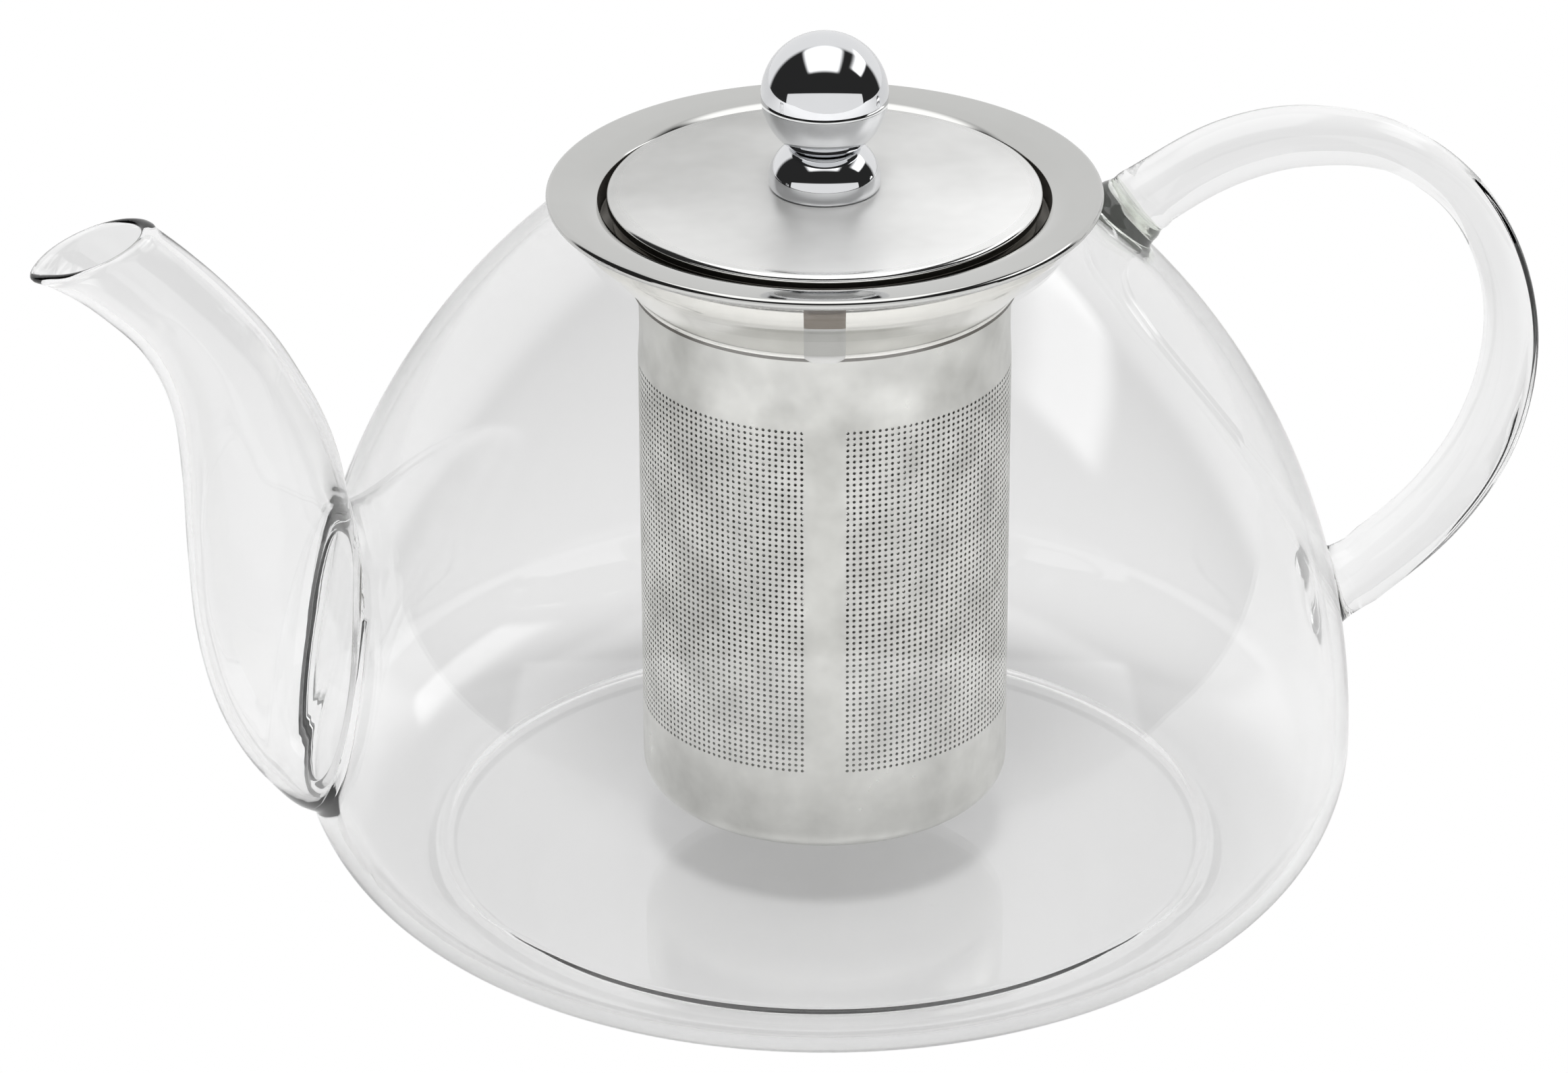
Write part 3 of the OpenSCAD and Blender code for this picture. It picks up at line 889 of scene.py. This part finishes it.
def perforated_tree():
    """Lays a stretch of columns of holes, with its sizes as named inputs."""
    tree = bpy.data.node_groups.new("perforated_sheet", "GeometryNodeTree")
    face = tree.interface
    sockets = {"Geometry": ["Geometry"], "Int": ["Columns", "Rows"],
               "Float": ["Column Pitch", "Row Pitch", "Hole Radius", "Thickness",
                         "Roll Radius", "Start Angle", "Low Edge"], "Material": ["Finish"]}
    for kind, names in sockets.items():
        for name in names:
            face.new_socket(name, in_out="INPUT", socket_type="NodeSocket" + kind)
    face.new_socket("Geometry", in_out="OUTPUT", socket_type="NodeSocketGeometry")
    given = add_node(tree, "NodeGroupInput").outputs

    # A flat tile: a rectangle with a round hole, filled between the two
    edge_curve = add_node(tree, "GeometryNodeCurvePrimitiveQuadrilateral",
                          inputs={"Width": given["Column Pitch"], "Height": given["Row Pitch"]})
    hole_curve = add_node(tree, "GeometryNodeCurvePrimitiveCircle",
                          inputs={"Resolution": 8, "Radius": given["Hole Radius"]})

    def joined(first, second):
        both = add_node(tree, "GeometryNodeJoinGeometry", inputs={"Geometry": first})
        tree.links.new(second.outputs[0], both.inputs["Geometry"])
        return both

    def sums(start, *steps):
        """Works through steps such as ("ADD", 2.0) from a start value."""
        for operation, value in steps:
            start = maths(tree, operation, start, value)
        return start

    tile = add_node(tree, "GeometryNodeFillCurve",
                    inputs={"Curve": joined(edge_curve, hole_curve)})

    # A grid of points, one for each hole, centred on the origin
    width = sums(given["Columns"], ("SUBTRACT", 1.0), ("MULTIPLY", given["Column Pitch"]))
    height = sums(given["Rows"], ("SUBTRACT", 1.0), ("MULTIPLY", given["Row Pitch"]))
    points = add_node(tree, "GeometryNodeMeshGrid", inputs={
        "Size X": width, "Size Y": height, "Vertices X": given["Columns"],
        "Vertices Y": given["Rows"]})
    tiles = add_node(tree, "GeometryNodeInstanceOnPoints",
                     inputs={"Points": points, "Instance": tile})
    loose = add_node(tree, "GeometryNodeRealizeInstances", inputs={"Geometry": tiles})
    sheet = add_node(tree, "GeometryNodeMergeByDistance",
                     inputs={"Geometry": loose, "Distance": 0.02 * MM})

    # Thickness: the sheet pushed back, with walls round its edge and its holes
    pushed = add_node(tree, "GeometryNodeExtrudeMesh", inputs={
        "Mesh": sheet, "Individual": False, "Offset": (0.0, 0.0, 1.0),
        "Offset Scale": given["Thickness"]})
    turned = add_node(tree, "GeometryNodeFlipFaces", inputs={"Mesh": sheet})
    closed = add_node(tree, "GeometryNodeMergeByDistance", inputs={
        "Geometry": joined(turned, pushed), "Distance": 0.001 * MM})

    # Rolling: x becomes an angle, y a height and z a step out from the sheet
    where = add_node(tree, "GeometryNodeInputPosition")
    parts = add_node(tree, "ShaderNodeSeparateXYZ", inputs={0: where}).outputs
    angle = sums(parts["X"], ("ADD", sums(width, ("MULTIPLY", 0.5))),
                 ("ADD", sums(given["Column Pitch"], ("MULTIPLY", 0.5))),
                 ("DIVIDE", given["Roll Radius"]), ("ADD", given["Start Angle"]))
    reach = sums(given["Roll Radius"], ("SUBTRACT", given["Thickness"]), ("ADD", parts["Z"]))
    low = sums(given["Row Pitch"], ("MULTIPLY", 0.5), ("ADD", given["Low Edge"]))
    level = sums(parts["Y"], ("ADD", sums(height, ("MULTIPLY", 0.5))), ("ADD", low))
    rolled = add_node(tree, "ShaderNodeCombineXYZ", inputs={
        "X": maths(tree, "MULTIPLY", reach, maths(tree, "COSINE", angle)),
        "Y": maths(tree, "MULTIPLY", reach, maths(tree, "SINE", angle)), "Z": level})
    placed = add_node(tree, "GeometryNodeSetPosition",
                      inputs={"Geometry": closed, "Position": rolled})
    real = add_node(tree, "GeometryNodeRealizeInstances", inputs={"Geometry": placed})
    dressed = add_node(tree, "GeometryNodeSetMaterial",
                       inputs={"Geometry": real, "Material": given["Finish"]})
    add_node(tree, "NodeGroupOutput", inputs={"Geometry": dressed})
    return tree


sheet_tree = perforated_tree()
print("perforated sheet tree:", len(sheet_tree.nodes), "nodes")

# %% Perforated sheets
def grown(name, tree, values):
    """A plain mesh made by a node tree, whose inputs are given by name."""
    holder = link_new(name + "_maker", bpy.data.meshes.new(name + "_maker"))
    maker = holder.modifiers.new("maker", "NODES")
    maker.node_group = tree
    for item in tree.interface.items_tree:
        if item.in_out == "INPUT" and item.name in values:
            maker[item.identifier] = values[item.name]
    ready = holder.evaluated_get(bpy.context.evaluated_depsgraph_get())
    mesh = bpy.data.meshes.new_from_object(ready)
    bpy.data.objects.remove(holder)
    mesh.name = name
    return smooth_piece(name, mesh, 40)


sheet_low = LOWEST_HOLE - row_pitch / 2
sheet_top = TOP_HOLE + row_pitch / 2
first_angle = SEAM_ANGLE + STRIP_GAP / 2 - column_angle / 2
wall_finish = (etched_steel, "strainer", "etched_steel", "basket_wall")
laid = 0
for name, columns in (("basket_sheet_right", 59), ("basket_sheet_back", 58),
                      ("basket_sheet_left", 59)):
    sheet = grown(name, sheet_tree, {
        "Columns": columns, "Rows": HOLE_ROWS, "Column Pitch": column_pitch * MM,
        "Row Pitch": row_pitch * MM, "Hole Radius": HOLE_R * MM,
        "Thickness": BASKET_SHEET * MM, "Roll Radius": BASKET_R * MM,
        "Start Angle": math.radians(first_angle + laid * column_angle),
        "Low Edge": sheet_low * MM, "Finish": etched_steel})
    laid += columns
    finish_piece(sheet, *wall_finish)
print("holes:", laid * HOLE_ROWS)

# %% [markdown]
# Plain bands close the basket: a strip along the seam, a neck under the collar
# and a short band above the cup. They have the same radius and thickness, so
# the light runs on over the joints.

# %% Neck, seam strip and cup
inner_r = BASKET_R - BASKET_SHEET
strip_angles = np.radians(np.linspace(first_angle - (STRIP_GAP - column_angle), first_angle, 9))
strip = slab("basket_seam_strip", [[[(r * math.cos(a), r * math.sin(a), z)
                                     for z in (sheet_low, sheet_top)] for a in strip_angles]
                                   for r in (BASKET_R, inner_r)])
finish_piece(strip, *wall_finish)

# The neck is drawn in by a hair in its middle, where the sheet was sized
NECK_WAIST = 0.25
neck_outside = [(BASKET_R - NECK_WAIST * math.sin(math.pi * k / 10), sheet_top
                 + (WALL_TOP_Z - sheet_top) * k / 10) for k in range(11)]
neck_inside = [(r - BASKET_SHEET, z) for r, z in reversed(neck_outside)]
turned_piece("basket_neck", neck_outside + neck_inside, wall_finish)

CUP_CORNER = 4
cup_outline = (
    [(0, BASKET_Z), (BASKET_R * 0.5, BASKET_Z)]
    + arc((BASKET_R - CUP_CORNER, BASKET_Z + CUP_CORNER), CUP_CORNER, -90, 0, 10)
    + [(BASKET_R, sheet_low), (inner_r, sheet_low)]
    + arc((BASKET_R - CUP_CORNER, BASKET_Z + CUP_CORNER), CUP_CORNER - BASKET_SHEET, 0, -90, 8)
    + [(BASKET_R * 0.5, BASKET_Z + BASKET_SHEET), (0, BASKET_Z + BASKET_SHEET)])
turned_piece("basket_cup", cup_outline,
             (etched_steel, "strainer", "etched_steel", "basket_bottom"), closed=False)

# %% [markdown]
# ## The lid
# The lid is a very low dome whose edge is rolled over. A stepped ring under it
# rests on the flange's ledge. Both are spun sections again.

# %% Lid and its ring
EDGE_W, EDGE_DROP, RIM_H = 1.2, 0.8, 1.3


def dome(radius):
    return LID_TOP - LID_RISE * (radius / LID_R) ** 2


def lid_edge(angle):
    a = math.radians(angle)
    return (LID_R - EDGE_W + EDGE_W * math.sin(a),
            dome(LID_R - EDGE_W) - EDGE_DROP * (1 - math.cos(a)))


lid_upper = ([((LID_R - EDGE_W) * k / 14, dome((LID_R - EDGE_W) * k / 14)) for k in range(15)]
             + [lid_edge(a) for a in range(9, 91, 9)])
rim_r, rim_z = lid_upper[-1]
inside_r = rim_r - LID_SHEET
lid_lower = ([(rim_r, rim_z - RIM_H * 0.8), (rim_r - 0.12, rim_z - RIM_H * 0.95),
              (rim_r - LID_SHEET / 2, rim_z - RIM_H), (inside_r, rim_z - RIM_H * 0.9),
              (inside_r, rim_z), (inside_r - 0.15, dome(inside_r) - LID_SHEET - 0.1),
              (inside_r - 0.5, dome(inside_r) - LID_SHEET)]
             + [(r, z - LID_SHEET) for r, z in reversed(lid_upper[:14])])
turned_piece("lid_domed_disc", lid_upper + lid_lower,
             (lid_steel, "lid", "satin_steel", "lid_dome"), 256, 50, closed=False)

SPIGOT_R, SPIGOT_END, SEAT_GAP = LEDGE_BORE_R - 0.08, 107, 0.05
skirt_r, seat = 33.27, ledge_z + SEAT_GAP
weld_z = dome(skirt_r) - LID_SHEET
under = [(skirt_r - 2.1, weld_z), (skirt_r - 1.3, weld_z), (skirt_r - 0.3, weld_z),
         (skirt_r, weld_z - 0.3)]
step = SPIGOT_R - SHEET
skirt_outline = (under + softened([(skirt_r, under[-1][1] - 0.1), (skirt_r, seat),
                                   (SPIGOT_R, seat), (SPIGOT_R, SPIGOT_END)], 0.2, 3)
                 + softened([(step, SPIGOT_END), (step, seat + SHEET),
                             (skirt_r - SHEET, seat + SHEET),
                             (under[2][0], under[2][1] - SHEET)], 0.2, 3)
                 + [(r, z - SHEET) for r, z in reversed(under[:2])])
turned_piece("lid_stepped_ring", skirt_outline,
             (bright_steel, "lid", "polished_steel", "lid_skirt"))

# %% [markdown]
# ## The knob
# A ball sits on a bell-shaped foot. Both are turned and mirror polished, and
# they show the whole studio, so their curves need many even rings.

# %% Bell, ball, washer and screw
SCREW_R, SCREW_TIP, WASHER_R, WASHER_T, HEAD_R, HEAD_H = 2, 126.4, 5, 0.8, 3.6, 2
wide = BELL_R - BELL_MID
high = (NECK_Z - BELL_Z) / math.sqrt(1 - ((NECK_R - BELL_MID) / wide) ** 2)
first = math.degrees(math.asin((NECK_Z - BELL_Z) / high))
flare = [(BELL_MID + wide * math.cos(a), BELL_Z + high * math.sin(a))
         for a in np.radians(np.linspace(first, 0, 25))]
bell_outline = ([(SCREW_R, NECK_Z), (NECK_R - 0.12, NECK_Z)] + flare
                + [(BELL_R - 0.01, BELL_Z - 0.35), (BELL_R - 0.06, BELL_Z - 0.8),
                   (BELL_FOOT_R + 0.2, dome(BELL_FOOT_R) + 0.3),
                   (BELL_FOOT_R, dome(BELL_FOOT_R) + 0.02), (SCREW_R, dome(SCREW_R) + 0.02)])
turned_piece("knob_bell", bell_outline, (mirror_steel, "lid", "chrome", "knob_base"), 192, 60)

ball_foot = -math.degrees(math.acos((NECK_Z - BALL_Z) / BALL_R)) + 90
ball_outline = ([(0, BALL_Z + BALL_R)] + arc((0, BALL_Z), BALL_R, 90, ball_foot, 96)[1:]
                + [(SCREW_R, NECK_Z), (SCREW_R, SCREW_TIP), (0, SCREW_TIP)])
turned_piece("knob_ball_turned", ball_outline, (mirror_steel, "lid", "chrome", "knob_ball"),
             192, 60, closed=False)

washer_top = LID_TOP - LID_SHEET - LID_RISE / 8
head_top = washer_top - WASHER_T
turned_piece("knob_washer_disc", [
    (SCREW_R + 0.1, washer_top), (WASHER_R - 0.15, washer_top), (WASHER_R, washer_top - 0.15),
    (WASHER_R, head_top + 0.15), (WASHER_R - 0.15, head_top), (SCREW_R + 0.1, head_top)],
    (satin_steel, "lid", "satin_steel", "knob_washer"), 96, 35)
turned_piece("knob_screw_pan_head", [
    (0, SCREW_TIP - 0.1), (SCREW_R - 0.35, SCREW_TIP - 0.1), (SCREW_R, SCREW_TIP - 0.4),
    (SCREW_R, head_top), (HEAD_R, head_top)]
    + arc((HEAD_R - 0.8, head_top - HEAD_H + 0.8), 0.8, 0, -90, 5) + [(0, head_top - HEAD_H)],
    (satin_steel, "lid", "satin_steel", "knob_screw"), 96, 35, closed=False)

# %% [markdown]
# ## The studio
# Clear glass and mirrors show their surroundings more than themselves. This
# studio is a white table and a white backdrop, with a dark room on the side of
# the camera. A long softbox hangs overhead and a small one stands at the right.
# The dark room is what draws the dark bands on the knob and the grey in the
# glass. All of it is drawn on the world by direction.

# %% Table
table_mesh = bpy.data.meshes.new("table")
table_mesh.from_pydata([(-1.3, -0.6, -0.0004), (1.3, -0.6, -0.0004), (1.3, 2.4, -0.0004),
                        (-1.3, 2.4, -0.0004)], [], [(0, 1, 2, 3)])
table = link_new("table", table_mesh)
CAMERA_TURN = -12
white_table, tree = new_material("white_acrylic_table", "#FFFFFF")


def turned_axes(tree, output):
    """Coordinates turned so that Y runs straight away from the camera."""
    place = add_node(tree, "ShaderNodeTexCoord")
    facing = add_node(tree, "ShaderNodeVectorRotate", {"rotation_type": "Z_AXIS"},
                      {"Vector": place.outputs[output], "Angle": math.radians(-CAMERA_TURN)})
    return add_node(tree, "ShaderNodeSeparateXYZ", inputs={0: facing}).outputs


# Painted light: a faint glow fills the table in front of the pot, and a little
# more beneath it, a painted pool of light
axes = turned_axes(tree, "Object")
front = add_node(tree, "ShaderNodeMapRange", inputs={
    "Value": axes["Y"], "From Min": -0.3, "From Max": 0.22, "To Min": 0.44, "To Max": 0.04})
beneath = add_node(tree, "ShaderNodeMapRange", {"interpolation_type": "SMOOTHSTEP"}, {
    "Value": maths(tree, "ABSOLUTE", axes["X"]), "From Min": 0.06, "From Max": 0.11,
    "To Min": 0.03, "To Max": 0.0})
surface = add_node(tree, "ShaderNodeBsdfPrincipled", inputs={
    "Base Color": paint("#E2E2E2"), "Roughness": 0.9, "Emission Color": paint("#FFFFFF"),
    "Emission Strength": maths(tree, "ADD", front, beneath)})
glow = add_node(tree, "ShaderNodeEmission", inputs={"Color": paint("#FFFFFF"), "Strength": 1.0})
path = add_node(tree, "ShaderNodeLightPath")
seen = add_node(tree, "ShaderNodeMixShader", inputs={
    0: path.outputs["Is Camera Ray"], 1: surface, 2: glow})
add_node(tree, "ShaderNodeOutputMaterial", inputs={"Surface": seen})
table_mesh.materials.append(white_table)

# %% World
world = bpy.data.worlds.new("studio")
bpy.context.scene.world = world
world.use_nodes = True
tree = world.node_tree
tree.nodes.clear()
axes = turned_axes(tree, "Generated")
side, ahead, up = axes["X"], axes["Y"], axes["Z"]


def times(first, *others):
    for other in others:
        first = maths(tree, "MULTIPLY", first, other)
    return first


def below(value, low, high):
    """1 below low, 0 above high, and smooth between them."""
    return maths(tree, "SUBTRACT", 1.0, step_up(tree, value, low, high))


def window(value, low, high, blur):
    """1 between two values and 0 outside them, with soft ends."""
    return times(step_up(tree, value, low - blur, low + blur),
                 below(value, high - blur, high + blur))


forward = times(ahead, -1.0)
near, high = maths(tree, "MAXIMUM", forward, 0.02), maths(tree, "MAXIMUM", up, 0.05)
leaning, reaching = maths(tree, "DIVIDE", side, high), maths(tree, "DIVIDE", ahead, high)

# The backdrop: all that lies well behind the pot
backdrop = step_up(tree, ahead, 0.40, 0.55)
# A white board in front, whose top edge is just under the lens
board = times(window(maths(tree, "DIVIDE", side, near), -3.0, 3.0, 0.1),
              below(maths(tree, "DIVIDE", up, near), 0.43, 0.48),
              step_up(tree, forward, 0.05, 0.12))
# The softboxes: a long one overhead and a narrow one at the right
overhead = times(window(leaning, -0.55, 0.45, 0.10), window(reaching, -0.46, 0.55, 0.10),
                 step_up(tree, up, 0.3, 0.4))
right_box = times(window(leaning, 0.95, 1.75, 0.2), window(reaching, -0.1, 1.1, 0.08),
                  step_up(tree, up, 0.2, 0.3))
WHITE, DARK, OVERHEAD_POWER, RIGHT_POWER = 0.92, 0.025, 1.7, 2.2
room = maths(tree, "MAXIMUM", times(maths(tree, "MAXIMUM", backdrop, board), WHITE), DARK)
lamps = maths(tree, "ADD", times(overhead, OVERHEAD_POWER), times(right_box, RIGHT_POWER))
path = add_node(tree, "ShaderNodeLightPath")
total = maths(tree, "MAXIMUM", maths(tree, "ADD", room, lamps), path.outputs["Is Camera Ray"])
sky = add_node(tree, "ShaderNodeBackground",
               inputs={"Color": paint("#FFFFFF"), "Strength": total})
add_node(tree, "ShaderNodeOutputWorld", inputs={"Surface": sky})
print("world nodes:", len(tree.nodes))

# %% [markdown]
# A lamp above and a little in front draws the edge of the basket's shadow. It
# is hidden from mirrors and from rays in glass, so it falls on dull faces only.

# %% Lamp
lamp_data = bpy.data.lights.new("shadow_lamp", "SUN")
lamp_data.energy = 0.9
lamp_data.angle = 0.22
shadow_lamp = link_new("shadow_lamp", lamp_data)
lean = Vector((0, -0.36, 1)).normalized()
lean.rotate(Quaternion((0, 0, 1), math.radians(CAMERA_TURN)))
shadow_lamp.rotation_mode = "QUATERNION"
shadow_lamp.rotation_quaternion = lean.to_track_quat("Z", "Y")
shadow_lamp.visible_glossy = False
shadow_lamp.visible_transmission = False

# %% [markdown]
# ## The camera
# A long lens from about a metre keeps the pot's ellipses calm. The view looks
# down by 26 degrees, from a little to the left of the front.

# %% Camera
ELEVATION, DISTANCE, AIM_Z = 26.4, 1.083, 0.05509
turn, rise = math.radians(CAMERA_TURN), math.radians(ELEVATION)
back = Vector((math.sin(turn) * math.cos(rise), -math.cos(turn) * math.cos(rise), math.sin(rise)))
camera_data = bpy.data.cameras.new("camera")
camera_data.lens = 154.9
camera_data.sensor_width = 36
camera_data.shift_x = -0.026
camera = link_new("camera", camera_data)
camera.location = Vector((0, 0, AIM_Z)) + back * DISTANCE
camera.rotation_mode = "QUATERNION"
camera.rotation_quaternion = (-back).to_track_quat("-Z", "Y")
bpy.context.scene.camera = camera
bpy.context.scene.view_settings.view_transform = "Standard"
print("camera at", [round(c, 3) for c in camera.location])
